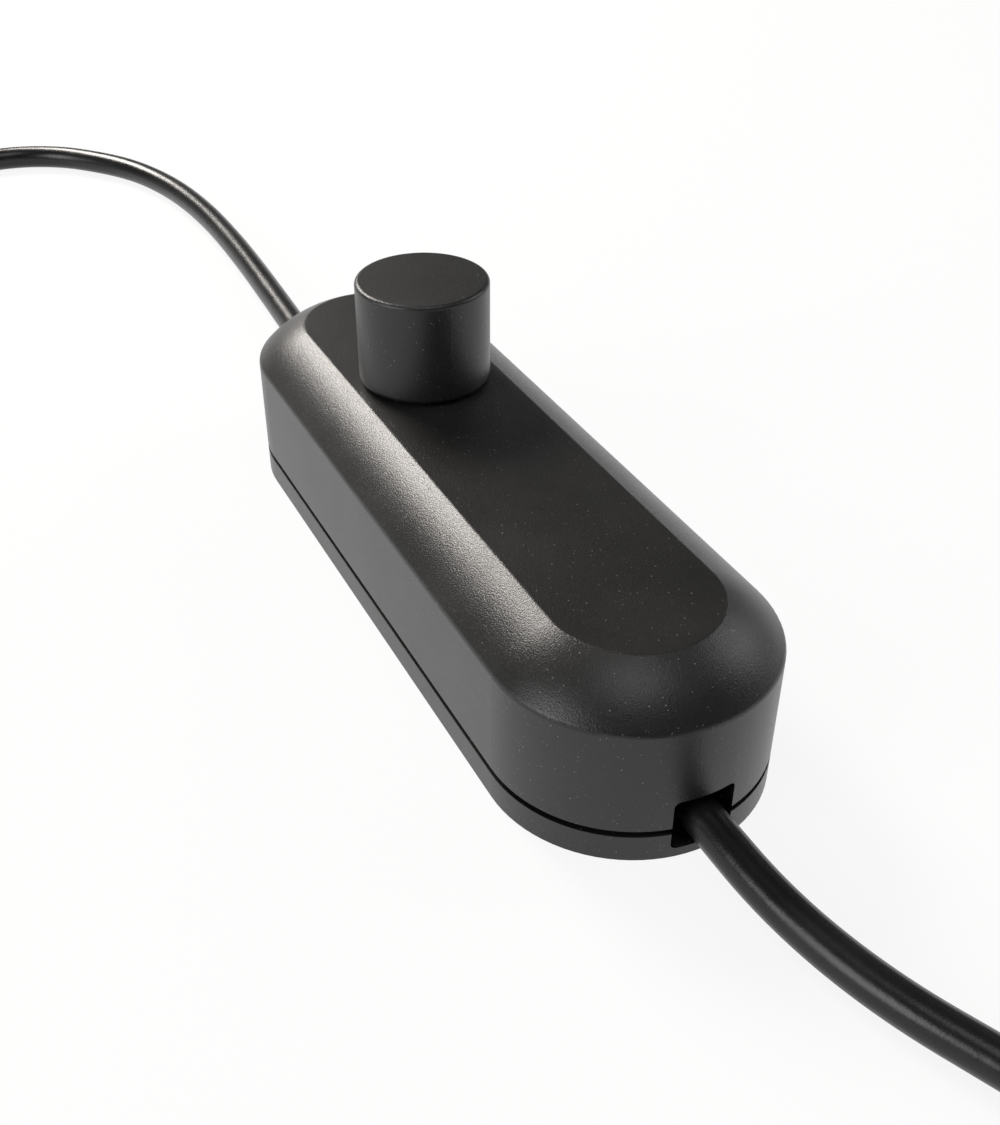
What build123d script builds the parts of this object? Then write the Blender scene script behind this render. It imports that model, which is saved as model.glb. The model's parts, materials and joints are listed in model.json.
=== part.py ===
from build123d import *
import math
import os

os.makedirs("parts", exist_ok=True)

# In-line rotary dimmer for a lamp cord, lying on its base.
# X runs along the body, the mains end at +X. Z is up, with the floor at zero.

# Housing
body_length = 114.8
body_width = 36.0
body_height = 24.25
base_height = 3.7
seam_gap = 0.9
shoulder_height = 18.9
shoulder_inset = 7.36
band_bulge = 0.55
lower_edge_round = 1.0
upper_edge_round = 0.8
wall = 2.0
floor_thickness = 2.0
lip_thickness = 1.5
lip_height = 3.8
lip_clearance = 0.15

# Cord notches in the two ends
notch_width = 8.0
notch_floor = 1.3
notch_top = 8.6
notch_round = 0.8

# Housing screws, from beneath
boss_radius = 3.0
boss_inset = 0.75
housing_screw_radius = 1.45
housing_screw_length = 13.0
housing_head_radius = 2.8
housing_head_height = 2.0
head_recess = 2.3
screw_clearance = 0.1

# Knob and shaft
knob_x = -19.2
knob_radius = 9.45
knob_height = 14.85
knob_gap = 0.4
knob_wall = 2.2
knob_roof = 2.4
knob_top_round = 0.6
knob_foot_round = 0.8
knob_hub_radius = 4.7
shaft_radius = 3.0
shaft_bevel = 0.4
shaft_flat = 1.5
shaft_fit = 0.05
bush_radius = 4.0
bush_height = 5.2
bush_clearance = 0.1
running_clearance = 0.04
nut_radius = 5.5
nut_height = 1.6
washer_radius = 6.0
washer_height = 0.5
clip_height = 0.5
clip_groove = 0.5
clip_play = 0.1
clip_radius = 4.3
clip_opening = 2.6
nut_sides = 6
slot_width = 0.6
slot_depth = 0.5

# Potentiometer
pot_radius = 8.25
pot_plate = 1.5
pot_depth = 6.3
pot_wall = 0.6
pot_clearance = 0.15
wafer_height = 1.2
wafer_tongue_width = 13.0
wafer_tongue_reach = 10.2
lug_pitch = 5.0
lug_width = 1.2
lug_depth = 0.6
lug_inset = 1.0
rotor_radius = 6.3
rotor_height = 1.6
rotor_drop = 1.2
rotor_stop_reach = 0.9
rotor_stop_width = 2.4
pot_stop_width = 2.4
stop_clearance = 4.0
wiper_height = 0.4
wiper_radius = 5.6
wiper_width = 1.6
wiper_finger = 0.8
wiper_gap = 0.15
track_height = 0.1
track_inner = 4.2
track_outer = 6.2
pot_stop_angle = -90.0

# Circuit board
board_thickness = 1.6
board_standoff = 1.6
board_clearance = 0.85
board_corner = 2.0
board_post_radius = 2.6
board_screw_inset_x = 3.0
board_screw_inset_y = 2.7
board_screw_radius = 1.0
board_screw_length = 3.4
board_head_radius = 1.9
board_head_height = 1.2
lead_radius = 0.3
lead_hole_radius = 0.55
lead_stub = 0.8

# Terminal blocks at the two ends of the board
terminal_depth = 8.0
terminal_width = 12.0
terminal_height = 8.4
terminal_inset = 0.5
terminal_pitch = 5.2
entry_height = 3.3
entry_radius = 1.15
cage_size = 3.6
cage_height = 5.6
cage_clearance = 0.15
terminal_screw_radius = 1.3
terminal_head_radius = 1.7
terminal_screw_length = 1.5
terminal_head_height = 1.6
terminal_pin_radius = 0.5

# Cord clamps
clamp_from_end = 10.4
clamp_length = 5.0
clamp_half_width = 8.4
clamp_bar_height = 3.2
clamp_bite = 0.6
clamp_screw_y = 6.2
clamp_screw_radius = 1.1
clamp_screw_length = 5.6
clamp_head_radius = 2.0
clamp_head_height = 1.4

# Heat sink and triac
sink_length = 20.0
sink_width = 16.0
sink_base = 2.5
sink_height = 7.0
sink_fin = 1.5
sink_end_x = -1.5
sink_middle_y = -5.0
tab_length = 15.6
tab_width = 10.0
tab_thickness = 1.3
tab_hole_from_end = 2.8
tab_hole_radius = 1.8
tab_setback = 1.2
triac_body_length = 9.2
triac_body_height = 3.2
triac_leg_width = 0.8
triac_leg_depth = 0.5
triac_leg_pitch = 2.54
triac_leg_rise = 1.1
triac_leg_reach = 2.6
triac_screw_radius = 1.5
triac_head_radius = 2.6
triac_head_height = 1.8

# Small parts on the board
drum_radius = 6.5
drum_height = 13.0
drum_flange = 1.8
drum_post_radius = 3.2
drum_from_fuse = 2.8
drum_y = -5.2
drum_lead_offset = 4.5
winding_wire = 1.1
winding_clearance = 0.15
filter_cap_length = 18.0
filter_cap_width = 7.5
filter_cap_height = 14.0
filter_cap_from_fuse = 0.8
filter_cap_y = 8.9
filter_cap_pitch = 15.0
timing_cap_length = 7.2
timing_cap_width = 3.0
timing_cap_height = 6.5
timing_cap_from_terminal = 1.95
timing_cap_y = 5.3
timing_cap_pitch = 5.0
cap_round = 0.5
resistor_radius = 1.2
resistor_length = 6.3
resistor_pitch = 10.2
resistor_from_filter_cap = 1.9
resistor_y = (5.3, 11.4)
diac_radius = 1.0
diac_length = 4.0
diac_pitch = 7.6
diac_y = 8.4
part_lift = 0.5
end_round = 0.25
fuse_radius = 2.6
fuse_length = 20.0
fuse_cap_length = 5.0
fuse_cap_wall = 0.3
fuse_from_terminal = 0.55
fuse_lift = 1.5
fuse_clip_wall = 0.4
fuse_clip_length = 4.0
fuse_clip_clearance = 0.1

# Cord, a round sheath over two cores
cord_radius = 2.5
cord_axis_height = 4.75
cord_clearance = 0.1
core_radius = 1.0
core_spacing = 1.15
core_step = 2.3
core_landing = 2.6
core_depth = 3.0
sheath_past_clamp = 1.0
cord_turn_inset = 1.0
bend_share = 0.45

# Coil of the mains cord that is put away, its tie, and the turn back to the plug on top of it
mains_coil_centre = (142.0, -18.5)
mains_coil_outer = 33.5
mains_coil_inner = 19.8
mains_coil_tie_angle = 235.0
mains_stub = 20.0
mains_rise_start = 215.0
mains_rise_length = 14.0
mains_turn_radius = 25.0
mains_turn_y = -10.0
coil_contact = 0.1
coil_levels = 2
coil_slack = 0.2
coil_round = 2.3
tie_thickness = 0.8
tie_width = 4.0
tie_clearance = 0.2

# Plug
plug_length = 23.5
plug_width = 35.3
plug_thickness = 13.7
plug_front_length = 8.0
plug_back_width = 15.0
plug_round = 2.6
boot_length = 11.4
boot_back_radius = 5.0
boot_front_radius = 3.6
boot_groove = 0.6
boot_groove_width = 1.4
boot_grooves = 3
pin_pitch = 18.6
pin_length = 19.0
pin_radius = 2.0
pin_core_radius = 1.3
pin_bare_length = 9.0
pin_tip_round = 1.2
pin_root = 8.0
sleeve_radius = 1.7

# Ferrules on the bare lamp end
ferrule_collar_radius = 1.4
ferrule_collar_length = 3.0
ferrule_taper = 4.0
ferrule_radius = 0.7
ferrule_length = 8.0

# Heights and places that follow from the sizes above
half_length = body_length / 2
half_width = body_width / 2
end_centre_x = half_length - half_width
cover_bottom = base_height + seam_gap
roof = body_height - wall
lip_outer = half_width - wall - lip_clearance
lip_inner = lip_outer - lip_thickness
lip_top = base_height + lip_height
notch_depth = half_width - lip_inner + boss_inset
boss_y = lip_inner - boss_inset - boss_radius
screw_places = [(x, y) for x in (-end_centre_x, end_centre_x) for y in (-boss_y, boss_y)]
board_bottom = floor_thickness + board_standoff
board_top = board_bottom + board_thickness
half_board_length = end_centre_x - boss_radius - board_clearance
half_board_width = lip_inner - board_clearance
board_screw_x = half_board_length - board_screw_inset_x
board_screw_y = half_board_width - board_screw_inset_y
board_screw_places = [(x, side * board_screw_y) for x in (-board_screw_x, board_screw_x) for side in (-1, 1)]
wafer_bottom = roof - pot_plate - pot_depth + pot_wall
wafer_top = wafer_bottom + wafer_height
rotor_top = roof - pot_plate - rotor_drop
rotor_bottom = rotor_top - rotor_height
knob_bottom = body_height + knob_gap
knob_top = knob_bottom + knob_height
bush_top = body_height + bush_height
shaft_top = knob_top - knob_roof
clip_bottom = bush_top + clip_play
hub_bottom = clip_bottom + clip_height + knob_gap
track_top = wafer_top + track_height
terminal_x = half_board_length - terminal_inset - terminal_depth / 2
terminal_face = terminal_x + terminal_depth / 2
terminal_back = terminal_x - terminal_depth / 2
fuse_half_width = fuse_radius + fuse_clip_clearance + fuse_clip_wall
fuse_x = terminal_back - fuse_from_terminal - fuse_half_width
filter_cap_x = fuse_x - fuse_half_width - filter_cap_from_fuse - filter_cap_length / 2
drum_x = fuse_x - fuse_half_width - drum_from_fuse - drum_radius
resistor_x = filter_cap_x - filter_cap_length / 2 - resistor_from_filter_cap - resistor_pitch / 2
timing_cap_x = -terminal_back + timing_cap_from_terminal + timing_cap_length / 2
entry_z = board_top + entry_height
cradle_x = half_length - clamp_from_end
cradle_top = cord_axis_height + clamp_bite
clamp_hole_depth = clamp_screw_length - clamp_bar_height + screw_clearance
sheath_end = cradle_x - clamp_length / 2 - sheath_past_clamp
tab_end_x = sink_end_x - tab_setback
tab_hole_x = tab_end_x - tab_length + tab_hole_from_end
tab_bottom = board_top + sink_base
tab_top = tab_bottom + tab_thickness
leg_x = tab_end_x + triac_leg_reach
leg_run = triac_leg_reach + triac_leg_depth / 2
leg_z = tab_top + triac_leg_rise
fuse_z = board_top + fuse_lift + fuse_radius
fuse_bore = fuse_radius - fuse_cap_wall
lug_y = wafer_tongue_reach - lug_inset
coil_bottom = tie_thickness + tie_clearance
first_level = coil_bottom + coil_slack + cord_radius
top_level = first_level + (coil_levels - 1) * 2 * cord_radius
coil_height = coil_levels * 2 * cord_radius + 2 * coil_slack
coil_top = coil_bottom + coil_height
plug_bottom = coil_top + coil_slack
plug_axis_height = plug_bottom + plug_thickness / 2
pot_inner_radius = pot_radius - pot_wall


def side_plane(x, y=0.0, z=0.0):
    """Upright plane across the body at x, its own x along Y and its own y along Z."""
    return Plane(origin=(x, y, z), x_dir=(0, 1, 0), z_dir=(1, 0, 0))


def half_section(inward, bottom, lower_round, upper_round):
    """Half of the housing's cross-section, on a surface set inward from the outside."""
    slope = math.atan2(body_height - shoulder_height, shoulder_inset)
    lower_x = half_width - inward
    lower_z = shoulder_height - inward * math.tan((math.pi / 2 - slope) / 2)
    upper_x = half_width - shoulder_inset - inward * math.tan(slope / 2)
    upper_z = body_height - inward
    with BuildSketch() as section:
        with BuildLine():
            Polyline((0, upper_z), (0, bottom), (lower_x, bottom), (lower_x, lower_z))
            SagittaArc((lower_x, lower_z), (upper_x, upper_z), -band_bulge)
            Line((upper_x, upper_z), (0, upper_z))
        make_face()
        fillet(section.vertices().sort_by_distance((lower_x, lower_z))[0], lower_round)
        fillet(section.vertices().sort_by_distance((upper_x, upper_z))[0], upper_round)
    return section.sketch


def housing_form(inward, bottom, lower_round, upper_round):
    """Solid of the housing's rounded form: one quarter, mirrored twice."""
    section = half_section(inward, bottom, lower_round, upper_round)
    with BuildPart() as form:
        with BuildSketch(side_plane(0)):
            add(section)
        extrude(amount=end_centre_x)
        with BuildSketch(side_plane(end_centre_x)):
            add(section)
        revolve(axis=Axis((end_centre_x, 0, 0), (0, 0, -1)), revolution_arc=90)
        mirror(about=Plane.XZ)
        mirror(about=Plane.YZ)
    return form.part


def bend_radii(route):
    """Radius of the arc at each inner point, as large as its two runs allow."""
    points = [Vector(*point) for point in route]
    radii = []
    for before, corner, after in zip(points, points[1:], points[2:]):
        run_in = corner - before
        run_out = after - corner
        half_turn = math.radians(run_in.get_angle(run_out)) / 2
        radii.append(bend_share * min(run_in.length, run_out.length) / math.tan(half_turn))
    return radii


def tube_along(route, radius):
    """Round tube along straight runs that tangent arcs join."""
    with BuildPart() as tube:
        with BuildLine() as path:
            FilletPolyline(*route, radius=bend_radii(route))
        with BuildSketch(Plane(origin=path.line @ 0, z_dir=path.line % 0)):
            Circle(radius)
        sweep(path=path.line)
    return tube


def on_circle(centre, radius, degrees):
    """Point of a circle that lies level, at an angle from +X."""
    angle = math.radians(degrees)
    return (centre[0] + radius * math.cos(angle), centre[1] + radius * math.sin(angle))


# Rounded slots through both shells where the cords leave
with BuildPart() as cord_notches:
    with BuildSketch(side_plane(half_length, 0, (notch_floor + notch_top) / 2)):
        RectangleRounded(notch_width, notch_top - notch_floor, notch_round)
    extrude(amount=notch_depth, both=True)
    mirror(about=Plane.YZ)

# Space inside the cover, with the screw bosses left standing
with BuildPart() as cover_hollow:
    add(housing_form(wall, cover_bottom, lower_edge_round, upper_edge_round))
    with Locations(*[(x, y, cover_bottom) for x, y in screw_places]):
        Cylinder(
            boss_radius,
            body_height - cover_bottom,
            align=(Align.CENTER, Align.CENTER, Align.MIN),
            mode=Mode.SUBTRACT,
        )

# Cover: straight walls, a sloped and slightly bulged band, and a flat top
with BuildPart() as cover_shell:
    add(housing_form(0, cover_bottom, lower_edge_round, upper_edge_round))
    add(cover_hollow.part, mode=Mode.SUBTRACT)
    add(cord_notches.part, mode=Mode.SUBTRACT)
    with Locations((knob_x, 0, body_height)):
        Hole(bush_radius + bush_clearance, depth=wall)
    with Locations(*[(x, y, cover_bottom) for x, y in screw_places]):
        Cylinder(
            housing_screw_radius + screw_clearance,
            housing_screw_length - (cover_bottom - head_recess) + boss_inset,
            align=(Align.CENTER, Align.CENTER, Align.MIN),
            mode=Mode.SUBTRACT,
        )
cover_shell.part.label = "cover_shell"
export_step(cover_shell.part, "parts/cover_shell.step")

# Base: a tray with a lip that stands inside the cover, posts, and cord cradles
with BuildPart() as base_shell:
    with BuildSketch():
        SlotOverall(body_length, body_width)
    extrude(amount=base_height)
    with BuildSketch():
        SlotOverall(2 * (end_centre_x + lip_outer), 2 * lip_outer)
    extrude(amount=lip_top)
    with BuildSketch(Plane.XY.offset(floor_thickness)):
        SlotOverall(2 * (end_centre_x + lip_inner), 2 * lip_inner)
    extrude(amount=lip_top - floor_thickness, mode=Mode.SUBTRACT)
    add(cord_notches.part, mode=Mode.SUBTRACT)
    with BuildSketch(Plane.XY.offset(floor_thickness)):
        with Locations(*screw_places):
            Circle(boss_radius)
    extrude(amount=cover_bottom - floor_thickness)
    with BuildSketch(Plane.XY.offset(floor_thickness)):
        with Locations(*board_screw_places):
            Circle(board_post_radius)
    extrude(amount=board_standoff)
    with BuildSketch(Plane.XY.offset(floor_thickness)):
        with Locations((-cradle_x, 0), (cradle_x, 0)):
            Rectangle(clamp_length, 2 * clamp_half_width)
    extrude(amount=cradle_top - floor_thickness)
    with Locations((0, 0, cord_axis_height)):
        Cylinder(cord_radius + cord_clearance, body_length, rotation=(0, 90, 0), mode=Mode.SUBTRACT)
    with BuildSketch(Plane.XY.offset(cord_axis_height)):
        with Locations((-cradle_x, 0), (cradle_x, 0)):
            Rectangle(clamp_length, 2 * (cord_radius + cord_clearance))
    extrude(amount=cradle_top - cord_axis_height, mode=Mode.SUBTRACT)
    with Locations(*[(x, y, board_bottom) for x, y in board_screw_places]):
        Hole(board_screw_radius + screw_clearance, depth=board_standoff + floor_thickness / 2)
    with Locations((0, 0, cradle_top)):
        with GridLocations(2 * cradle_x, 2 * clamp_screw_y, 2, 2):
            Hole(clamp_screw_radius + screw_clearance, depth=clamp_hole_depth)
    with Locations(*[Plane(origin=(x, y, 0), z_dir=(0, 0, -1)) for x, y in screw_places]):
        CounterBoreHole(
            housing_screw_radius + screw_clearance,
            housing_head_radius + screw_clearance,
            head_recess,
            depth=cover_bottom,
        )
base_shell.part.label = "base_shell"
export_step(base_shell.part, "parts/base_shell.step")

# Screws that hold the cover down, seen from beneath in their recesses
with BuildPart() as housing_screws:
    with Locations(*[(x, y, head_recess) for x, y in screw_places]):
        Cylinder(housing_screw_radius, housing_screw_length, align=(Align.CENTER, Align.CENTER, Align.MIN))
        Cylinder(housing_head_radius, housing_head_height, align=(Align.CENTER, Align.CENTER, Align.MAX))
    with Locations(*[(x, y, head_recess - housing_head_height) for x, y in screw_places]):
        Box(housing_head_radius, slot_width, 2 * slot_depth, mode=Mode.SUBTRACT)
        Box(slot_width, housing_head_radius, 2 * slot_depth, mode=Mode.SUBTRACT)
housing_screws.part.label = "housing_screws"
export_step(housing_screws.part, "parts/housing_screws.step")

# Knob: a plain drum, hollow underneath, with a hub on the flattened shaft
with BuildPart() as knob:
    with BuildSketch(Plane.XZ):
        with Locations((knob_x, knob_bottom)):
            Rectangle(knob_radius, knob_height, align=(Align.MIN, Align.MIN))
    revolve(axis=Axis((knob_x, 0, 0), (0, 0, 1)))
    fillet(knob.edges().sort_by(Axis.Z)[-1], knob_top_round)
    fillet(knob.edges().sort_by(Axis.Z)[0], knob_foot_round)
    with BuildSketch(Plane.XY.offset(knob_bottom)):
        with Locations((knob_x, 0)):
            Circle(knob_radius - knob_wall)
    extrude(amount=shaft_top - knob_bottom, mode=Mode.SUBTRACT)
    with BuildSketch(Plane.XY.offset(hub_bottom)):
        with Locations((knob_x, 0)):
            Circle(knob_hub_radius)
            Circle(shaft_radius + shaft_fit, mode=Mode.SUBTRACT)
            with Locations((0, shaft_flat + shaft_fit)):
                Rectangle(2 * shaft_radius, shaft_radius, align=(Align.CENTER, Align.MIN))
            Circle(knob_hub_radius, mode=Mode.INTERSECT)
    extrude(amount=shaft_top - hub_bottom)
knob.part.label = "knob"
export_step(knob.part, "parts/knob.step")

# Shaft with its flat, its clip groove and a bevelled tip
with BuildPart() as pot_shaft:
    with Locations((knob_x, 0, rotor_bottom)):
        Cylinder(shaft_radius, shaft_top - rotor_bottom, align=(Align.CENTER, Align.CENTER, Align.MIN))
    chamfer(pot_shaft.edges().sort_by(Axis.Z)[-1], shaft_bevel)
    with BuildSketch(Plane.XY.offset(clip_bottom)):
        with Locations((knob_x, 0)):
            Circle(shaft_radius)
            Circle(shaft_radius - clip_groove, mode=Mode.SUBTRACT)
    extrude(amount=clip_height, mode=Mode.SUBTRACT)
    with BuildSketch(Plane.XY.offset(hub_bottom)):
        with Locations((knob_x, shaft_flat)):
            Rectangle(2 * shaft_radius, shaft_radius, align=(Align.CENTER, Align.MIN))
    extrude(amount=shaft_top - hub_bottom, mode=Mode.SUBTRACT)
pot_shaft.part.label = "pot_shaft"
export_step(pot_shaft.part, "parts/pot_shaft.step")

# Open ring in the shaft's groove, just above the bush
with BuildPart() as shaft_clip:
    with BuildSketch(Plane.XY.offset(clip_bottom)):
        with Locations((knob_x, 0)):
            Circle(clip_radius)
            Circle(shaft_radius - clip_groove + shaft_fit, mode=Mode.SUBTRACT)
            Rectangle(2 * clip_radius, clip_opening, align=(Align.MIN, Align.CENTER), mode=Mode.SUBTRACT)
    extrude(amount=clip_height)
shaft_clip.part.label = "shaft_clip"
export_step(shaft_clip.part, "parts/shaft_clip.step")

# Rotor on the shaft's foot, with a hub under the plate and a tab that meets the stop
stop_half_angle = math.degrees(math.asin(max(rotor_stop_width, pot_stop_width) / 2 / rotor_radius))
rotor_tab_angle = pot_stop_angle - 2 * stop_half_angle - stop_clearance
with BuildPart() as pot_rotor:
    with BuildSketch(Plane.XY.offset(rotor_bottom)):
        with Locations((knob_x, 0)):
            Circle(rotor_radius)
            with Locations(Rotation(0, 0, rotor_tab_angle)):
                Rectangle(rotor_radius + rotor_stop_reach, rotor_stop_width, align=(Align.MIN, Align.CENTER))
            Circle(shaft_radius + shaft_fit, mode=Mode.SUBTRACT)
    extrude(amount=rotor_height)
    with BuildSketch(Plane.XY.offset(rotor_top)):
        with Locations((knob_x, 0)):
            Circle(knob_hub_radius)
            Circle(shaft_radius + shaft_fit, mode=Mode.SUBTRACT)
    extrude(amount=rotor_drop - clip_play)
pot_rotor.part.label = "pot_rotor"
export_step(pot_rotor.part, "parts/pot_rotor.step")

# Spring wiper under the rotor, its two fingers just over the track
with BuildPart() as pot_wiper:
    with BuildSketch(Plane.XY.offset(rotor_bottom)):
        with Locations((knob_x, 0)):
            Circle(wiper_radius)
            Circle(shaft_radius + shaft_fit, mode=Mode.SUBTRACT)
    extrude(amount=-wiper_height)
    with BuildSketch(Plane.XY.offset(rotor_bottom)):
        with Locations((knob_x, 0)):
            with PolarLocations((track_inner + wiper_radius) / 2, 2, start_angle=rotor_tab_angle):
                Rectangle(wiper_finger, wiper_width)
    extrude(amount=track_top + wiper_gap - rotor_bottom)
pot_wiper.part.label = "pot_wiper"
export_step(pot_wiper.part, "parts/pot_wiper.step")

# Plate and threaded bush of the potentiometer, with the stop under the plate
with BuildPart() as pot_bush:
    with BuildSketch(Plane.XY.offset(roof)):
        with Locations((knob_x, 0)):
            Circle(pot_radius)
    extrude(amount=-pot_plate)
    with BuildSketch(Plane.XY.offset(roof)):
        with Locations((knob_x, 0)):
            Circle(bush_radius)
    extrude(amount=bush_top - roof)
    with BuildSketch(Plane.XY.offset(roof - pot_plate)):
        with Locations((knob_x, 0)):
            with Locations(Rotation(0, 0, pot_stop_angle)):
                Rectangle(pot_inner_radius - pot_clearance, pot_stop_width, align=(Align.MIN, Align.CENTER))
            Circle(rotor_radius + pot_clearance, mode=Mode.SUBTRACT)
    extrude(amount=rotor_bottom - (roof - pot_plate))
    with Locations((knob_x, 0, bush_top)):
        Hole(shaft_radius + running_clearance)
pot_bush.part.label = "pot_bush"
export_step(pot_bush.part, "parts/pot_bush.step")

# Washer and nut that clamp the bush to the cover, inside the knob
with BuildPart() as pot_washer:
    with BuildSketch(Plane.XY.offset(body_height)):
        with Locations((knob_x, 0)):
            Circle(washer_radius)
            Circle(bush_radius + shaft_fit, mode=Mode.SUBTRACT)
    extrude(amount=washer_height)
pot_washer.part.label = "pot_washer"
export_step(pot_washer.part, "parts/pot_washer.step")

with BuildPart() as pot_nut:
    with BuildSketch(Plane.XY.offset(body_height + washer_height)):
        with Locations((knob_x, 0)):
            RegularPolygon(nut_radius, nut_sides, major_radius=False)
            Circle(bush_radius + shaft_fit, mode=Mode.SUBTRACT)
    extrude(amount=nut_height)
pot_nut.part.label = "pot_nut"
export_step(pot_nut.part, "parts/pot_nut.step")

# Pressed can of the potentiometer, slotted where the wafer's tongue comes out
with BuildPart() as pot_can:
    with BuildSketch(Plane.XY.offset(roof - pot_plate)):
        with Locations((knob_x, 0)):
            Circle(pot_radius)
    extrude(amount=-pot_depth)
    with BuildSketch(Plane.XY.offset(wafer_bottom)):
        with Locations((knob_x, 0)):
            Circle(pot_inner_radius)
    extrude(amount=roof - pot_plate - wafer_bottom, mode=Mode.SUBTRACT)
    with BuildSketch(Plane.XY.offset(wafer_bottom)):
        with Locations((knob_x, 0)):
            Rectangle(wafer_tongue_width + 2 * pot_clearance, pot_radius, align=(Align.CENTER, Align.MIN))
    extrude(amount=wafer_height + pot_clearance, mode=Mode.SUBTRACT)
pot_can.part.label = "pot_can"
export_step(pot_can.part, "parts/pot_can.step")

# Wafer with its tongue, the carbon track on it, and the three lugs down to the board
with BuildPart() as pot_wafer:
    with BuildSketch(Plane.XY.offset(wafer_bottom)):
        with Locations((knob_x, 0)):
            Circle(pot_inner_radius - pot_clearance)
            Rectangle(wafer_tongue_width, wafer_tongue_reach, align=(Align.CENTER, Align.MIN))
            Circle(shaft_radius / 2, mode=Mode.SUBTRACT)
    extrude(amount=wafer_height)
pot_wafer.part.label = "pot_wafer"
export_step(pot_wafer.part, "parts/pot_wafer.step")

with BuildPart() as pot_track:
    with BuildSketch(Plane.XY.offset(wafer_top)):
        with Locations((knob_x, 0)):
            Circle(track_outer)
            Circle(track_inner, mode=Mode.SUBTRACT)
            Rectangle(wiper_width, track_outer, align=(Align.CENTER, Align.MAX), mode=Mode.SUBTRACT)
    extrude(amount=track_height)
pot_track.part.label = "pot_track"
export_step(pot_track.part, "parts/pot_track.step")

lug_places = [(knob_x + step * lug_pitch, lug_y) for step in (-1, 0, 1)]
with BuildPart() as pot_lugs:
    with BuildSketch(Plane.XY.offset(board_bottom - lead_stub)):
        with Locations(*lug_places):
            Rectangle(lug_width, lug_depth)
    extrude(amount=wafer_bottom - board_bottom + lead_stub)
pot_lugs.part.label = "pot_lugs"
export_step(pot_lugs.part, "parts/pot_lugs.step")

# Board with a hole for each lead
terminal_pin_places = [
    (side * terminal_x, y) for side in (-1, 1) for y in (-terminal_pitch / 2, terminal_pitch / 2)
]
leg_places = [(leg_x, sink_middle_y + step * triac_leg_pitch) for step in (-1, 0, 1)]
resistor_lead_places = [
    (resistor_x + side * resistor_pitch / 2, y) for side in (-1, 1) for y in resistor_y
]
diac_lead_places = [(resistor_x + side * diac_pitch / 2, diac_y) for side in (-1, 1)]
timing_lead_places = [(timing_cap_x + side * timing_cap_pitch / 2, timing_cap_y) for side in (-1, 1)]
filter_lead_places = [(filter_cap_x + side * filter_cap_pitch / 2, filter_cap_y) for side in (-1, 1)]
drum_lead_places = [(drum_x + side * drum_lead_offset, drum_y) for side in (-1, 1)]
fuse_clip_y = fuse_length / 2 - fuse_cap_length / 2
fuse_pin_places = [(fuse_x, side * fuse_clip_y) for side in (-1, 1)]
round_lead_places = (
    terminal_pin_places
    + leg_places
    + resistor_lead_places
    + diac_lead_places
    + timing_lead_places
    + filter_lead_places
    + drum_lead_places
    + fuse_pin_places
)
with BuildPart() as circuit_board:
    with BuildSketch(Plane.XY.offset(board_bottom)):
        RectangleRounded(2 * half_board_length, 2 * half_board_width, board_corner)
        with Locations(*board_screw_places):
            Circle(board_screw_radius + screw_clearance, mode=Mode.SUBTRACT)
        with Locations(*round_lead_places):
            Circle(lead_hole_radius, mode=Mode.SUBTRACT)
        with Locations(*lug_places):
            Circle(lug_width / 2 + screw_clearance, mode=Mode.SUBTRACT)
    extrude(amount=board_thickness)
circuit_board.part.label = "circuit_board"
export_step(circuit_board.part, "parts/circuit_board.step")

with BuildPart() as board_screws:
    with Locations(*[(x, y, board_top) for x, y in board_screw_places]):
        Cylinder(board_head_radius, board_head_height, align=(Align.CENTER, Align.CENTER, Align.MIN))
        Cylinder(board_screw_radius, board_screw_length, align=(Align.CENTER, Align.CENTER, Align.MAX))
    with Locations(*[(x, y, board_top + board_head_height) for x, y in board_screw_places]):
        Box(board_head_radius, slot_width, 2 * slot_depth, mode=Mode.SUBTRACT)
board_screws.part.label = "board_screws"
export_step(board_screws.part, "parts/board_screws.step")

# Terminal block: pockets from beneath for the cages, wells for the screws, entries in the end face
terminal_ys = (-terminal_pitch / 2, terminal_pitch / 2)
well_radius = terminal_head_radius + screw_clearance
pocket_size = cage_size + 2 * cage_clearance
with BuildPart() as mains_terminal:
    with Locations((terminal_x, 0, board_top)):
        Box(terminal_depth, terminal_width, terminal_height, align=(Align.CENTER, Align.CENTER, Align.MIN))
    with Locations(*[(terminal_x, y, board_top) for y in terminal_ys]):
        Box(
            pocket_size,
            pocket_size,
            cage_height + cage_clearance,
            align=(Align.CENTER, Align.CENTER, Align.MIN),
            mode=Mode.SUBTRACT,
        )
        Cylinder(
            well_radius, terminal_height, align=(Align.CENTER, Align.CENTER, Align.MIN), mode=Mode.SUBTRACT
        )
    with BuildSketch(side_plane(terminal_face, 0, entry_z)):
        with Locations(*[(y, 0) for y in terminal_ys]):
            Circle(entry_radius)
    extrude(amount=-terminal_depth / 2, mode=Mode.SUBTRACT)
mains_terminal.part.label = "mains_terminal"
export_step(mains_terminal.part, "parts/mains_terminal.step")

# Metal cages that hold the cores, with their pins through the board
with BuildPart() as mains_cages:
    with Locations(*[(terminal_x, y, board_top) for y in terminal_ys]):
        Box(cage_size, cage_size, cage_height, align=(Align.CENTER, Align.CENTER, Align.MIN))
        Cylinder(
            terminal_pin_radius,
            board_thickness + lead_stub,
            align=(Align.CENTER, Align.CENTER, Align.MAX),
        )
    with BuildSketch(side_plane(terminal_x, 0, entry_z)):
        with Locations(*[(y, 0) for y in terminal_ys]):
            Circle(entry_radius)
    extrude(amount=cage_size, both=True, mode=Mode.SUBTRACT)
    with Locations(*[(terminal_x, y, board_top + cage_height) for y in terminal_ys]):
        Hole(terminal_screw_radius + screw_clearance, depth=cage_height - entry_height)
mains_cages.part.label = "mains_cages"
export_step(mains_cages.part, "parts/mains_cages.step")

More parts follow.
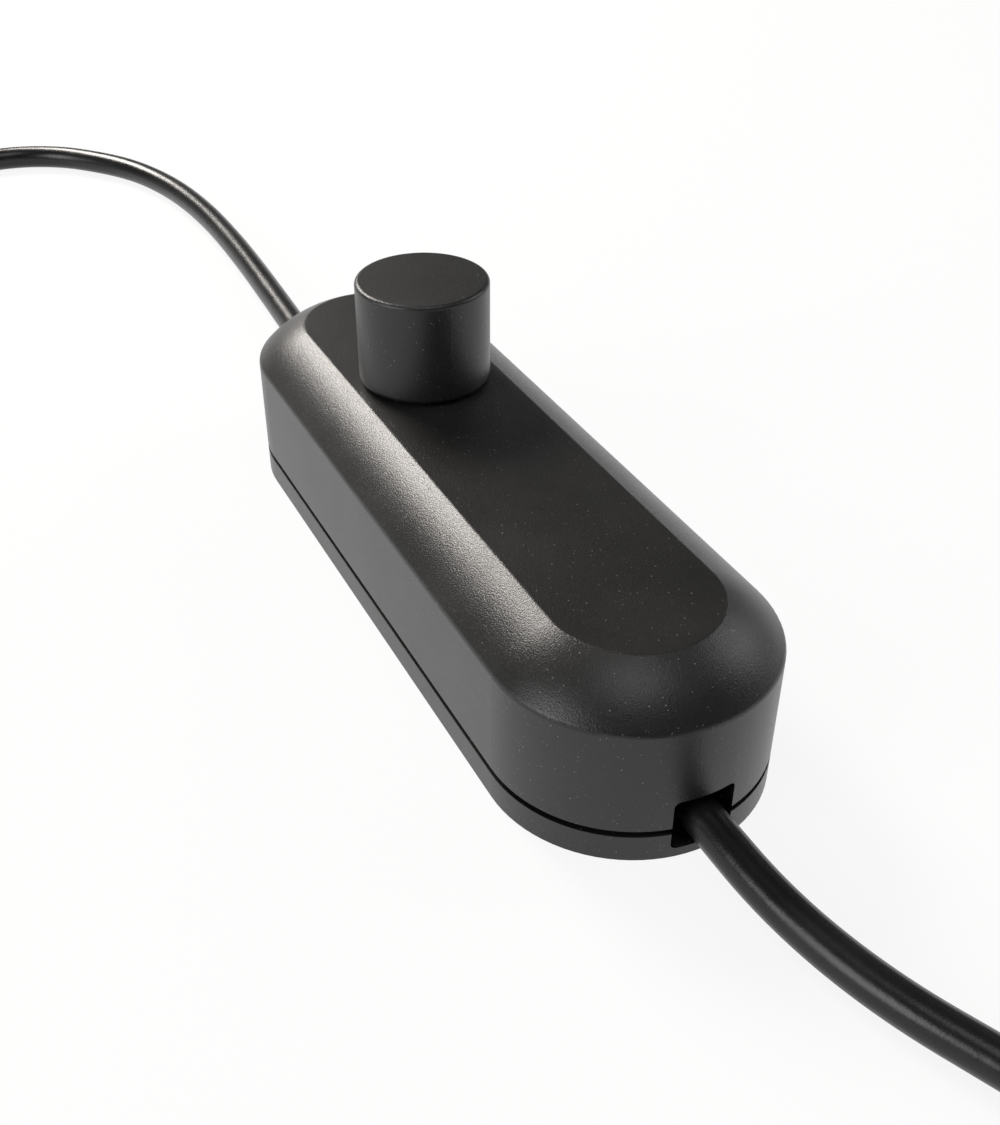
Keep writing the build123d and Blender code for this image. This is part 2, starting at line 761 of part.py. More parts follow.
terminal_screw_bottom = entry_z + entry_radius + screw_clearance
terminal_head_bottom = terminal_screw_bottom + terminal_screw_length
with BuildPart() as mains_terminal_screws:
    with Locations(*[(terminal_x, y, terminal_head_bottom) for y in terminal_ys]):
        Cylinder(terminal_screw_radius, terminal_screw_length, align=(Align.CENTER, Align.CENTER, Align.MAX))
        Cylinder(terminal_head_radius, terminal_head_height, align=(Align.CENTER, Align.CENTER, Align.MIN))
    with Locations(*[(terminal_x, y, terminal_head_bottom + terminal_head_height) for y in terminal_ys]):
        Box(2 * terminal_head_radius, slot_width, 2 * slot_depth, mode=Mode.SUBTRACT)
mains_terminal_screws.part.label = "mains_terminal_screws"
export_step(mains_terminal_screws.part, "parts/mains_terminal_screws.step")

with BuildPart() as lamp_terminal:
    mirror(mains_terminal.part, about=Plane.YZ)
lamp_terminal.part.label = "lamp_terminal"
export_step(lamp_terminal.part, "parts/lamp_terminal.step")

with BuildPart() as lamp_cages:
    mirror(mains_cages.part, about=Plane.YZ)
lamp_cages.part.label = "lamp_cages"
export_step(lamp_cages.part, "parts/lamp_cages.step")

with BuildPart() as lamp_terminal_screws:
    mirror(mains_terminal_screws.part, about=Plane.YZ)
lamp_terminal_screws.part.label = "lamp_terminal_screws"
export_step(lamp_terminal_screws.part, "parts/lamp_terminal_screws.step")

# Clamp bar over the sheath, screwed to the cradle
with BuildPart() as mains_clamp:
    with Locations((cradle_x, 0, cradle_top)):
        Box(
            clamp_length,
            2 * clamp_half_width,
            clamp_bar_height,
            align=(Align.CENTER, Align.CENTER, Align.MIN),
        )
    fillet(mains_clamp.edges().filter_by(Axis.X).group_by(Axis.Z)[-1], clamp_bite)
    with BuildSketch(side_plane(cradle_x, 0, cord_axis_height)):
        Circle(cord_radius + cord_clearance)
    extrude(amount=clamp_length, both=True, mode=Mode.SUBTRACT)
    with Locations(*[(cradle_x, y, cradle_top + clamp_bar_height) for y in (-clamp_screw_y, clamp_screw_y)]):
        Hole(clamp_screw_radius + screw_clearance, depth=clamp_bar_height)
mains_clamp.part.label = "mains_clamp"
export_step(mains_clamp.part, "parts/mains_clamp.step")

with BuildPart() as lamp_clamp:
    mirror(mains_clamp.part, about=Plane.YZ)
lamp_clamp.part.label = "lamp_clamp"
export_step(lamp_clamp.part, "parts/lamp_clamp.step")

clamp_head_bottom = cradle_top + clamp_bar_height
clamp_screw_places = [(x, y) for x in (-cradle_x, cradle_x) for y in (-clamp_screw_y, clamp_screw_y)]
with BuildPart() as clamp_screws:
    with Locations(*[(x, y, clamp_head_bottom) for x, y in clamp_screw_places]):
        Cylinder(clamp_head_radius, clamp_head_height, align=(Align.CENTER, Align.CENTER, Align.MIN))
        Cylinder(clamp_screw_radius, clamp_screw_length, align=(Align.CENTER, Align.CENTER, Align.MAX))
    with Locations(*[(x, y, clamp_head_bottom + clamp_head_height) for x, y in clamp_screw_places]):
        Box(clamp_head_radius, slot_width, 2 * slot_depth, mode=Mode.SUBTRACT)
clamp_screws.part.label = "clamp_screws"
export_step(clamp_screws.part, "parts/clamp_screws.step")

# Heat sink: a channel section, drilled for the triac's screw
with BuildPart() as heat_sink:
    with BuildSketch(side_plane(sink_end_x, sink_middle_y, board_top)):
        Rectangle(sink_width, sink_height, align=(Align.CENTER, Align.MIN))
        with Locations((0, sink_base)):
            Rectangle(
                sink_width - 2 * sink_fin, sink_height, align=(Align.CENTER, Align.MIN), mode=Mode.SUBTRACT
            )
    extrude(amount=-sink_length)
    with Locations((tab_hole_x, sink_middle_y, tab_bottom)):
        Hole(triac_screw_radius + screw_clearance, depth=sink_base)
heat_sink.part.label = "heat_sink"
export_step(heat_sink.part, "parts/heat_sink.step")

# Triac: metal tab with a hole, moulded body on it, and three bent legs
with BuildPart() as triac_tab:
    with BuildSketch(Plane.XY.offset(tab_bottom)):
        with Locations((tab_end_x, sink_middle_y)):
            Rectangle(tab_length, tab_width, align=(Align.MAX, Align.CENTER))
        with Locations((tab_hole_x, sink_middle_y)):
            Circle(tab_hole_radius, mode=Mode.SUBTRACT)
    extrude(amount=tab_thickness)
triac_tab.part.label = "triac_tab"
export_step(triac_tab.part, "parts/triac_tab.step")

with BuildPart() as triac_body:
    with BuildSketch(Plane.XY.offset(tab_top)):
        with Locations((tab_end_x, sink_middle_y)):
            Rectangle(triac_body_length, tab_width, align=(Align.MAX, Align.CENTER))
    extrude(amount=triac_body_height, taper=4)
triac_body.part.label = "triac_body"
export_step(triac_body.part, "parts/triac_body.step")

leg_bottom = board_bottom - lead_stub
with BuildPart() as triac_legs:
    for x, y in leg_places:
        with BuildSketch(Plane.XZ.offset(-y)):
            with Locations((x, leg_bottom)):
                Rectangle(triac_leg_depth, leg_z - leg_bottom, align=(Align.CENTER, Align.MIN))
            with Locations((x + triac_leg_depth / 2, leg_z)):
                Rectangle(leg_run, triac_leg_depth, align=(Align.MAX, Align.CENTER))
        extrude(amount=triac_leg_width / 2, both=True)
triac_legs.part.label = "triac_legs"
export_step(triac_legs.part, "parts/triac_legs.step")

with BuildPart() as triac_screw:
    with Locations((tab_hole_x, sink_middle_y, tab_top)):
        Cylinder(triac_head_radius, triac_head_height, align=(Align.CENTER, Align.CENTER, Align.MIN))
        Cylinder(
            triac_screw_radius, tab_thickness + sink_base, align=(Align.CENTER, Align.CENTER, Align.MAX)
        )
    with Locations((tab_hole_x, sink_middle_y, tab_top + triac_head_height)):
        Box(triac_head_radius, slot_width, 2 * slot_depth, mode=Mode.SUBTRACT)
        Box(slot_width, triac_head_radius, 2 * slot_depth, mode=Mode.SUBTRACT)
triac_screw.part.label = "triac_screw"
export_step(triac_screw.part, "parts/triac_screw.step")

# Choke: a drum core with one layer of wire, its two ends brought down through the flange
with BuildPart() as choke_core:
    with Locations((drum_x, drum_y, board_top)):
        Cylinder(drum_radius, drum_flange, align=(Align.CENTER, Align.CENTER, Align.MIN))
        Cylinder(drum_post_radius, drum_height, align=(Align.CENTER, Align.CENTER, Align.MIN))
    with Locations((drum_x, drum_y, board_top + drum_height)):
        Cylinder(drum_radius, drum_flange, align=(Align.CENTER, Align.CENTER, Align.MAX))
    with Locations(*[(x, y, board_top + drum_flange) for x, y in drum_lead_places]):
        Hole(lead_hole_radius, depth=drum_flange)
choke_core.part.label = "choke_core"
export_step(choke_core.part, "parts/choke_core.step")

winding_space = drum_height - 2 * drum_flange - 2 * winding_clearance
winding_turns = int(winding_space / winding_wire)
winding_bottom = board_top + drum_flange + winding_clearance
winding_inner = drum_post_radius + winding_clearance
winding_outer = drum_lead_offset + winding_wire / 2
winding_height = winding_turns * winding_wire
with BuildPart() as choke_winding:
    with BuildSketch(Plane.XZ.offset(-drum_y)):
        with Locations((drum_x + (winding_inner + winding_outer) / 2, winding_bottom)):
            Rectangle(winding_outer - winding_inner, winding_height, align=(Align.CENTER, Align.MIN))
        for turn in range(winding_turns):
            with Locations((drum_x + winding_outer, winding_bottom + (turn + 0.5) * winding_wire)):
                Circle(winding_wire / 2)
    revolve(axis=Axis((drum_x, drum_y, 0), (0, 0, 1)))
    with Locations(*[(x, y, winding_bottom + winding_wire) for x, y in drum_lead_places]):
        Cylinder(
            lead_radius,
            winding_bottom + winding_wire - leg_bottom,
            align=(Align.CENTER, Align.CENTER, Align.MAX),
        )
choke_winding.part.label = "choke_winding"
export_step(choke_winding.part, "parts/choke_winding.step")

# Boxed film capacitors, with their leads
filter_cap_size = (filter_cap_length, filter_cap_width, filter_cap_height)
timing_cap_size = (timing_cap_length, timing_cap_width, timing_cap_height)
for name, place, size, lead_places in (
    ("filter_capacitor", (filter_cap_x, filter_cap_y, board_top), filter_cap_size, filter_lead_places),
    ("timing_capacitor", (timing_cap_x, timing_cap_y, board_top), timing_cap_size, timing_lead_places),
):
    with BuildPart() as capacitor:
        with Locations(place):
            Box(*size, align=(Align.CENTER, Align.CENTER, Align.MIN))
        fillet(capacitor.edges().filter_by(Axis.Z) + capacitor.edges().group_by(Axis.Z)[-1], cap_round)
        with Locations(*[(lead_x, lead_y, board_top) for lead_x, lead_y in lead_places]):
            Cylinder(lead_radius, board_top - leg_bottom, align=(Align.CENTER, Align.CENTER, Align.MAX))
    capacitor.part.label = name
    export_step(capacitor.part, f"parts/{name}.step")


def axial_part(x, y, body_radius, body_length, pitch):
    """Round body lying on its two bent leads."""
    axis_z = board_top + part_lift + body_radius
    with BuildPart() as lying:
        with BuildLine() as lead:
            FilletPolyline(
                (x - pitch / 2, y, leg_bottom),
                (x - pitch / 2, y, axis_z),
                (x + pitch / 2, y, axis_z),
                (x + pitch / 2, y, leg_bottom),
                radius=2 * lead_radius,
            )
        with BuildSketch(Plane.XY.offset(leg_bottom)):
            with Locations((x - pitch / 2, y)):
                Circle(lead_radius)
        sweep(path=lead.line)
        with Locations((x, y, axis_z)):
            Cylinder(body_radius, body_length, rotation=(0, 90, 0))
        rounds = lying.edges().filter_by(GeomType.CIRCLE)
        rims = rounds.filter_by(lambda edge: edge.radius > body_radius - lead_radius)
        fillet(rims, end_round * body_radius)
    return lying.part


with BuildPart() as resistors:
    for y in resistor_y:
        add(axial_part(resistor_x, y, resistor_radius, resistor_length, resistor_pitch))
resistors.part.label = "resistors"
export_step(resistors.part, "parts/resistors.step")

with BuildPart() as diac:
    add(axial_part(resistor_x, diac_y, diac_radius, diac_length, diac_pitch))
diac.part.label = "diac"
export_step(diac.part, "parts/diac.step")

# Fuse across the board: glass, two end caps, and the two clips that hold it
glass_radius = fuse_radius - fuse_cap_wall - screw_clearance / 2
with BuildPart() as fuse_glass:
    with Locations((fuse_x, 0, fuse_z)):
        Cylinder(glass_radius, fuse_length - 2 * fuse_cap_wall, rotation=(90, 0, 0))
        Cylinder(glass_radius - 2 * fuse_cap_wall, fuse_length, rotation=(90, 0, 0), mode=Mode.SUBTRACT)
fuse_glass.part.label = "fuse_glass"
export_step(fuse_glass.part, "parts/fuse_glass.step")

with BuildPart() as fuse_caps:
    with Locations((fuse_x, 0, fuse_z)):
        Cylinder(fuse_radius, fuse_length, rotation=(90, 0, 0))
        Cylinder(fuse_radius, fuse_length - 2 * fuse_cap_length, rotation=(90, 0, 0), mode=Mode.SUBTRACT)
        Cylinder(fuse_bore, fuse_length - 2 * fuse_cap_wall, rotation=(90, 0, 0), mode=Mode.SUBTRACT)
fuse_caps.part.label = "fuse_caps"
export_step(fuse_caps.part, "parts/fuse_caps.step")

clip_inner = fuse_radius + fuse_clip_clearance
clip_outer = clip_inner + fuse_clip_wall
with BuildPart() as fuse_clips:
    for side in (-1, 1):
        with BuildSketch(Plane.XZ.offset(side * fuse_clip_y)):
            with Locations((fuse_x, fuse_z)):
                Circle(clip_outer)
                Circle(clip_inner, mode=Mode.SUBTRACT)
                Rectangle(2 * clip_inner, clip_outer, align=(Align.CENTER, Align.MIN), mode=Mode.SUBTRACT)
            with Locations((fuse_x, board_top)):
                Rectangle(
                    clip_inner, fuse_z - clip_inner - board_top, align=(Align.CENTER, Align.MIN)
                )
        extrude(amount=fuse_clip_length / 2, both=True)
    with Locations(*[(x, y, board_top) for x, y in fuse_pin_places]):
        Cylinder(terminal_pin_radius, board_top - leg_bottom, align=(Align.CENTER, Align.CENTER, Align.MAX))
fuse_clips.part.label = "fuse_clips"
export_step(fuse_clips.part, "parts/fuse_clips.step")

# The two cores of each cord, from the sheath's end into the terminal
for end_name, end in (("mains", 1), ("lamp", -1)):
    for colour, side in (("brown", 1), ("blue", -1)):
        core_route = [
            (end * sheath_end, side * core_spacing, cord_axis_height),
            (end * (sheath_end - core_step), side * core_spacing, cord_axis_height),
            (end * (terminal_face + core_landing), side * terminal_pitch / 2, entry_z),
            (end * (terminal_face - core_depth), side * terminal_pitch / 2, entry_z),
        ]
        core = tube_along(core_route, core_radius)
        core.part.label = f"{end_name}_core_{colour}"
        export_step(core.part, f"parts/{end_name}_core_{colour}.step")

# Coil of the mains cord: the outer shape of its turns, with a stub where the cord comes in low down
# and the rise on top where it goes on to the plug
mains_coil_width = mains_coil_outer - mains_coil_inner + 2 * (cord_radius + coil_slack)
mains_coil_mean = (mains_coil_inner + mains_coil_outer) / 2
coil_middle = coil_bottom + coil_height / 2
mains_in_y = mains_coil_centre[1] + mains_coil_outer
turn_start = (mains_coil_centre[0] - mains_coil_outer, mains_turn_y, coil_top + cord_radius - coil_contact)
rise_route = [
    (*on_circle(mains_coil_centre, mains_coil_outer, mains_rise_start), top_level),
    (turn_start[0], mains_turn_y - mains_rise_length, turn_start[2]),
    turn_start,
]
with BuildPart() as mains_cord_coil:
    with BuildSketch(Plane(origin=(*mains_coil_centre, coil_middle), x_dir=(1, 0, 0), z_dir=(0, -1, 0))):
        with Locations((mains_coil_mean, 0)):
            RectangleRounded(mains_coil_width, coil_height, coil_round)
    revolve(axis=Axis((*mains_coil_centre, 0), (0, 0, 1)))
    with BuildSketch(side_plane(mains_coil_centre[0], mains_in_y, first_level)):
        Circle(cord_radius)
    extrude(amount=-mains_stub)
    add(tube_along(rise_route, cord_radius))
mains_cord_coil.part.label = "mains_cord_coil"
export_step(mains_cord_coil.part, "parts/mains_cord_coil.step")

# Flat band closed round the turns
tie_angle = math.radians(mains_coil_tie_angle)
tie_middle = on_circle(mains_coil_centre, mains_coil_mean, mains_coil_tie_angle)
tie_inner_width = mains_coil_width + 2 * tie_clearance
tie_inner_height = coil_height + 2 * tie_clearance
tie_plane = Plane(
    origin=(*tie_middle, coil_middle),
    x_dir=(math.cos(tie_angle), math.sin(tie_angle), 0),
    z_dir=(-math.sin(tie_angle), math.cos(tie_angle), 0),
)
with BuildPart() as mains_cord_tie:
    with BuildSketch(tie_plane):
        inside = RectangleRounded(tie_inner_width, tie_inner_height, coil_round)
        offset(inside, tie_thickness)
        add(inside, mode=Mode.SUBTRACT)
    extrude(amount=tie_width / 2, both=True)
mains_cord_tie.part.label = "mains_cord_tie"
export_step(mains_cord_tie.part, "parts/mains_cord_tie.step")

# Half turn on top of the coil, rising to the plug that lies on it
turn_rise = plug_axis_height - turn_start[2]
turn_reach = math.sqrt(mains_turn_radius**2 - (turn_rise / 2) ** 2)
plug_x = turn_start[0] + 2 * turn_reach
turn_plane = Plane(
    origin=(turn_start[0] + turn_reach, mains_turn_y, turn_start[2] + turn_rise / 2),
    x_dir=(turn_reach, 0, turn_rise / 2),
    z_dir=(-turn_rise / 2, 0, turn_reach),
)
with BuildPart() as mains_cord_tail:
    with BuildLine(turn_plane) as turn_path:
        CenterArc((0, 0), mains_turn_radius, 180, -180)
    with BuildSketch(Plane(origin=turn_path.line @ 0, z_dir=turn_path.line % 0)):
        Circle(cord_radius)
    sweep(path=turn_path.line)
mains_cord_tail.part.label = "mains_cord_tail"
export_step(mains_cord_tail.part, "parts/mains_cord_tail.step")

# Cord routes, laid by hand: from the sheath's end through the notch and along the floor
mains_route = [
    (sheath_end, 0, cord_axis_height),
    (half_length - cord_turn_inset, 0, cord_axis_height),
    (70.5, 1.1, 3.0),
    (84.0, 4.4, cord_radius),
    (97.0, 10.2, cord_radius),
    (105.5, 13.8, 2.6),
    (113.5, mains_in_y, first_level),
    (mains_coil_centre[0] - mains_stub, mains_in_y, first_level),
]
mains_cord = tube_along(mains_route, cord_radius)
mains_cord.part.label = "mains_cord"
export_step(mains_cord.part, "parts/mains_cord.step")

lamp_cord_end = (-116.0, -61.2)
lamp_route = [
    (-sheath_end, 0, cord_axis_height),
    (cord_turn_inset - half_length, 0, cord_axis_height),
    (-72.5, 0.9, 3.0),
    (-93.0, 2.2, cord_radius),
    (-118.0, 3.4, cord_radius),
    (-143.0, 3.7, cord_radius),
    (-162.0, 1.8, cord_radius),
    (-179.0, -2.8, cord_radius),
    (-202.4, -18.6, cord_radius),
    (-205.6, -42.6, cord_radius),
    (-189.6, -60.9, cord_radius),
    (-165.4, -61.1, cord_radius),
    (-141.0, -60.9, cord_radius),
    (*lamp_cord_end, cord_radius),
]
lamp_cord = tube_along(lamp_route, cord_radius)
lamp_cord.part.label = "lamp_cord"
export_step(lamp_cord.part, "parts/lamp_cord.step")

for name, route, tube in (("mains_cord", mains_route, mains_cord), ("lamp_cord", lamp_route, lamp_cord)):
    radii = [round(radius, 1) for radius in bend_radii(route)]
    length = tube.part.volume / (math.pi * cord_radius**2)
    print(name, "radii", radii, "length", round(length, 1))

# Bared end of the lamp cord: two cores that spread a little, each with a ferrule
lead_steps = (
    (0, core_spacing, cord_radius),
    (8.0, core_spacing, cord_radius),
    (16.0, 1.3, 1.9),
    (24.0, 1.5, ferrule_collar_radius),
    (31.0, 1.5, ferrule_collar_radius),
)
ferrule_starts = []
for colour, side in (("brown", -1), ("blue", 1)):
    lead_route = [
        (lamp_cord_end[0] + along, lamp_cord_end[1] + side * aside, height)
        for along, aside, height in lead_steps
    ]
    lead = tube_along(lead_route, core_radius)
    lead.part.label = f"lamp_lead_{colour}"
    export_step(lead.part, f"parts/lamp_lead_{colour}.step")
    lead_end = Vector(*lead_route[-1])
    ferrule_starts.append(Plane(origin=lead_end, z_dir=lead_end - Vector(*lead_route[-2])))

with BuildPart() as ferrules:
    for start in ferrule_starts:
        with BuildSketch(start):
            Circle(ferrule_collar_radius)
        extrude(amount=ferrule_collar_length, taper=ferrule_taper)
        with BuildSketch(start):
            Circle(ferrule_radius)
        extrude(amount=ferrule_collar_length + ferrule_length)
ferrules.part.label = "ferrules"
export_step(ferrules.part, "parts/ferrules.step")

# Moulded flat plug lying on the coil, with its ribbed boot towards the cord's turn
plug_back_y = mains_turn_y - boot_length
plug_front_y = plug_back_y - plug_length
pin_bare_y = plug_front_y - pin_length + pin_bare_length
groove_step = boot_length / (boot_grooves + 1)
boot_taper = (boot_back_radius - boot_front_radius) / (boot_grooves + 1)


def plug_plane(y):
    """Plane across the plug at y, centred on its axis."""
    return Plane(origin=(plug_x, y, plug_axis_height), x_dir=(1, 0, 0), z_dir=(0, 1, 0))


with BuildPart() as plug_body:
    with BuildSketch(Plane(origin=(plug_x, plug_front_y, plug_bottom), x_dir=(0, 1, 0), z_dir=(0, 0, 1))):
        Polygon(
            (0, -plug_width / 2),
            (plug_front_length, -plug_width / 2),
            (plug_length, -plug_back_width / 2),
            (plug_length, plug_back_width / 2),
            (plug_front_length, plug_width / 2),
            (0, plug_width / 2),
            align=None,
        )
    extrude(amount=plug_thickness)
    fillet(plug_body.edges().filter_by(Axis.Z), plug_round)
    fillet(plug_body.edges().group_by(Axis.Z)[-1] + plug_body.edges().group_by(Axis.Z)[0], plug_round)
    with BuildSketch(side_plane(plug_x, plug_back_y, plug_axis_height)):
        Polygon(
            (-plug_round, 0),
            (-plug_round, boot_back_radius),
            (0, boot_back_radius),
            (boot_length, boot_front_radius),
            (boot_length, 0),
            align=None,
        )
        for step in range(1, boot_grooves + 1):
            with Locations((step * groove_step, boot_back_radius - step * boot_taper)):
                Rectangle(boot_groove_width, 2 * boot_groove, mode=Mode.SUBTRACT)
    revolve(axis=Axis((plug_x, plug_back_y, plug_axis_height), (0, 1, 0)))
    with BuildSketch(plug_plane(plug_front_y)):
        with GridLocations(pin_pitch, 0, 2, 1):
            Circle(sleeve_radius + shaft_fit)
    extrude(amount=pin_root, mode=Mode.SUBTRACT)
plug_body.part.label = "plug_body"
export_step(plug_body.part, "parts/plug_body.step")

with BuildPart() as plug_pins:
    with BuildSketch(plug_plane(pin_bare_y)):
        with GridLocations(pin_pitch, 0, 2, 1):
            Circle(pin_radius)
    extrude(amount=-pin_bare_length)
    fillet(plug_pins.edges().group_by(Axis.Y)[0], pin_tip_round)
    with BuildSketch(plug_plane(pin_bare_y)):
        with GridLocations(pin_pitch, 0, 2, 1):
            Circle(pin_core_radius)
    extrude(amount=pin_length - pin_bare_length + pin_root)
plug_pins.part.label = "plug_pins"
export_step(plug_pins.part, "parts/plug_pins.step")

with BuildPart() as plug_sleeves:
    with BuildSketch(plug_plane(pin_bare_y)):
        with GridLocations(pin_pitch, 0, 2, 1):
            Circle(sleeve_radius)
            Circle(pin_core_radius + shaft_fit, mode=Mode.SUBTRACT)
    extrude(amount=pin_length - pin_bare_length + pin_root)
plug_sleeves.part.label = "plug_sleeves"
export_step(plug_sleeves.part, "parts/plug_sleeves.step")
print("plug axis", round(plug_x, 2), plug_axis_height, "pins bare from y", pin_bare_y)
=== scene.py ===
# In-line lamp dimmer with a drum knob: finishes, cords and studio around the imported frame
import json
import math

import bpy
import numpy as np
from mathutils import Matrix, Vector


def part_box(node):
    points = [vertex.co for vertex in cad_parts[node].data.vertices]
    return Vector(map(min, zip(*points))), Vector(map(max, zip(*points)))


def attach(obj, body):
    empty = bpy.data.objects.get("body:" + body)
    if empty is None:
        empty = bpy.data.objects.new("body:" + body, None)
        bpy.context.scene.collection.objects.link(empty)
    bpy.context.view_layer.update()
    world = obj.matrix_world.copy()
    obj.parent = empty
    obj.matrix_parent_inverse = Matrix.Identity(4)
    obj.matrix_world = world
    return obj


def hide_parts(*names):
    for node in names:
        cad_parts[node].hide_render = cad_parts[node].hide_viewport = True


mm = 0.001
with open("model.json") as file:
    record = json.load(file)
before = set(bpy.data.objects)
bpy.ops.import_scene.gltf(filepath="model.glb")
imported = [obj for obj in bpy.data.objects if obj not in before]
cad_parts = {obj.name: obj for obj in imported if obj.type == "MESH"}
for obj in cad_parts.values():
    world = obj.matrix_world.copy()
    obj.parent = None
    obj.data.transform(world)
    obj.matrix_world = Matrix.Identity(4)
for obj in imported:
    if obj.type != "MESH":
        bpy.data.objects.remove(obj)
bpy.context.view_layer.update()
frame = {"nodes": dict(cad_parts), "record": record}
nodes = frame["nodes"]
print("frame loaded:", len(nodes), "nodes")


# Camera, matched to the outline of the housing in the photograph
cameraPlace = {
    "location": (0.144369, -0.069466, 0.118557),
    "azimuth": 63.438,
    "elevation": 35.715,
    "roll": 0.281,
    "lens": 43.88,      # on a 36 mm side, the long one of the picture
}


def makeCamera(place):
    turn, rise, roll = (math.radians(place[k]) for k in ("azimuth", "elevation", "roll"))
    back = np.array([math.sin(turn) * math.cos(rise), -math.cos(turn) * math.cos(rise), math.sin(rise)])
    level = np.array([math.cos(turn), math.sin(turn), 0.0])
    upright = np.cross(back, level)
    right = math.cos(roll) * level + math.sin(roll) * upright
    up = math.cos(roll) * upright - math.sin(roll) * level
    data = bpy.data.cameras.new("camera")
    data.lens = place["lens"]
    data.sensor_width = 36
    data.clip_start = 0.01
    data.clip_end = 50
    camera = bpy.data.objects.new("camera", data)
    bpy.context.scene.collection.objects.link(camera)
    turned = Matrix([list(row) for row in np.column_stack([right, up, back])])
    camera.matrix_world = Matrix.Translation(place["location"]) @ turned.to_4x4()
    bpy.context.scene.camera = camera


makeCamera(cameraPlace)
print("camera set")


# A shader socket, so that shader maths is written as plain sums
class Socket:
    def __init__(self, tree, output=None):
        self.tree = tree
        self.output = output

    # Adds any node: settings first, then the values or links of its sockets
    def add(self, kind, settings=None, sockets=None, out=0):
        node = self.tree.nodes.new(kind)
        for name, value in (settings or {}).items():
            if name == "stops":
                fillRamp(node.color_ramp, value)
            else:
                setattr(node, name, value)
        for name, value in (sockets or {}).items():
            if isinstance(value, Socket):
                self.tree.links.new(value.output, node.inputs[name])
            else:
                node.inputs[name].default_value = value
        return Socket(self.tree, node.outputs[out] if len(node.outputs) else None)

    def maths(self, operation, first, second):
        return self.add("ShaderNodeMath", {"operation": operation}, {0: first, 1: second})

    def __add__(self, other):
        return self.maths("ADD", self, other)

    def __radd__(self, other):
        return self.maths("ADD", other, self)

    def __sub__(self, other):
        return self.maths("SUBTRACT", self, other)

    def __rsub__(self, other):
        return self.maths("SUBTRACT", other, self)

    def __mul__(self, other):
        return self.maths("MULTIPLY", self, other)

    def __rmul__(self, other):
        return self.maths("MULTIPLY", other, self)

    def __gt__(self, other):
        return self.maths("GREATER_THAN", self, other)

    def __lt__(self, other):
        return self.maths("LESS_THAN", self, other)


def fillRamp(ramp, stops):
    while len(ramp.elements) < len(stops):
        ramp.elements.new(1.0)
    for element, (place, colour) in zip(ramp.elements, stops):
        element.position = place
        element.color = colour


def grey(level):
    return (level, level, level, 1.0)


# Noise of one grain size in metres, 0 to 1
def grain(at, size, detail=2.0, stretch=(1.0, 1.0, 1.0)):
    place = at.add("ShaderNodeMapping", {}, {"Vector": at, "Scale": stretch})
    return at.add("ShaderNodeTexNoise", {}, {"Vector": place, "Scale": 1 / size, "Detail": detail})


# Cell noise: distance to the nearest of points that lie about one size apart
def cells(at, size):
    return at.add("ShaderNodeTexVoronoi", {"feature": "F1"}, {"Vector": at, "Scale": 1 / size})


# A value between two edges becomes 0 to 1, clamped. The first edge may be the higher one.
def rampUp(value, low, high):
    return value.add("ShaderNodeMapRange", {}, {"Value": value, "From Min": low, "From Max": high})


def mixColours(share, first, second):
    return share.add("ShaderNodeMix", {"data_type": "RGBA"}, {0: share, 6: first, 7: second}, out=2)


def bump(height, depth, under=None):
    sockets = {"Height": height, "Strength": 1.0, "Distance": depth}
    if under:
        sockets["Normal"] = under
    return height.add("ShaderNodeBump", {}, sockets)


# One material: the finish function gets the object coordinates and returns the shader
def makeMaterial(name, finish):
    material = bpy.data.materials.new(name)
    material.use_nodes = True
    tree = material.node_tree
    tree.nodes.clear()
    at = Socket(tree).add("ShaderNodeTexCoord", {}, {}, out=3)
    shader = finish(at)
    shader.add("ShaderNodeOutputMaterial", {}, {"Surface": shader})
    return material


def principled(at, sockets):
    return at.add("ShaderNodeBsdfPrincipled", {}, sockets)


# Black moulded plastic of the housing, with the fine grain of a sparked mould and pale specks
housingLook = {
    "colour": (0.0085, 0.0083, 0.0082, 1),
    "worn": (0.020, 0.0192, 0.0185, 1),
    "speck": (0.26, 0.25, 0.24, 1),
    "speckSpacing": 0.62 * mm,
    "speckReach": 0.16,     # of the spacing
    "grainSize": 0.20 * mm,
    "grainDepth": 0.040 * mm,
    "pitSize": 0.45 * mm,
    "pitDepth": 0.010 * mm,
    "cloudSize": 14 * mm,
    "roughness": 0.34,
    "roughSpread": (0.18, 0.10),    # of the fine grain and of the clouds
    "gloss": 0.50,
}


# Ground colour, worn in clouds and on the fine grain. Some of the evenly spread cells hold a speck.
def mouldedBlack(look):
    def finish(at):
        fine = grain(at, look["grainSize"], 3)
        broad = grain(at, look["pitSize"], 2)
        cloud = grain(at, look["cloudSize"], 3)
        dots = rampUp(cells(at, look["speckSpacing"]), look["speckReach"], look["speckReach"] * 0.4)
        base = mixColours(rampUp(cloud, 0.3, 0.75) * 0.5 + fine * 0.3, look["colour"], look["worn"])
        colour = mixColours(dots * rampUp(broad, 0.5, 0.62), base, look["speck"])
        fineShare, cloudShare = look["roughSpread"]
        rough = look["roughness"] + (fine - 0.5) * fineShare + (cloud - 0.5) * cloudShare
        normal = bump(fine, look["grainDepth"], bump(broad, look["pitDepth"]))
        return principled(at, {
            "Base Color": colour, "Roughness": rough, "Normal": normal, "Specular IOR Level": look["gloss"],
        })

    return finish


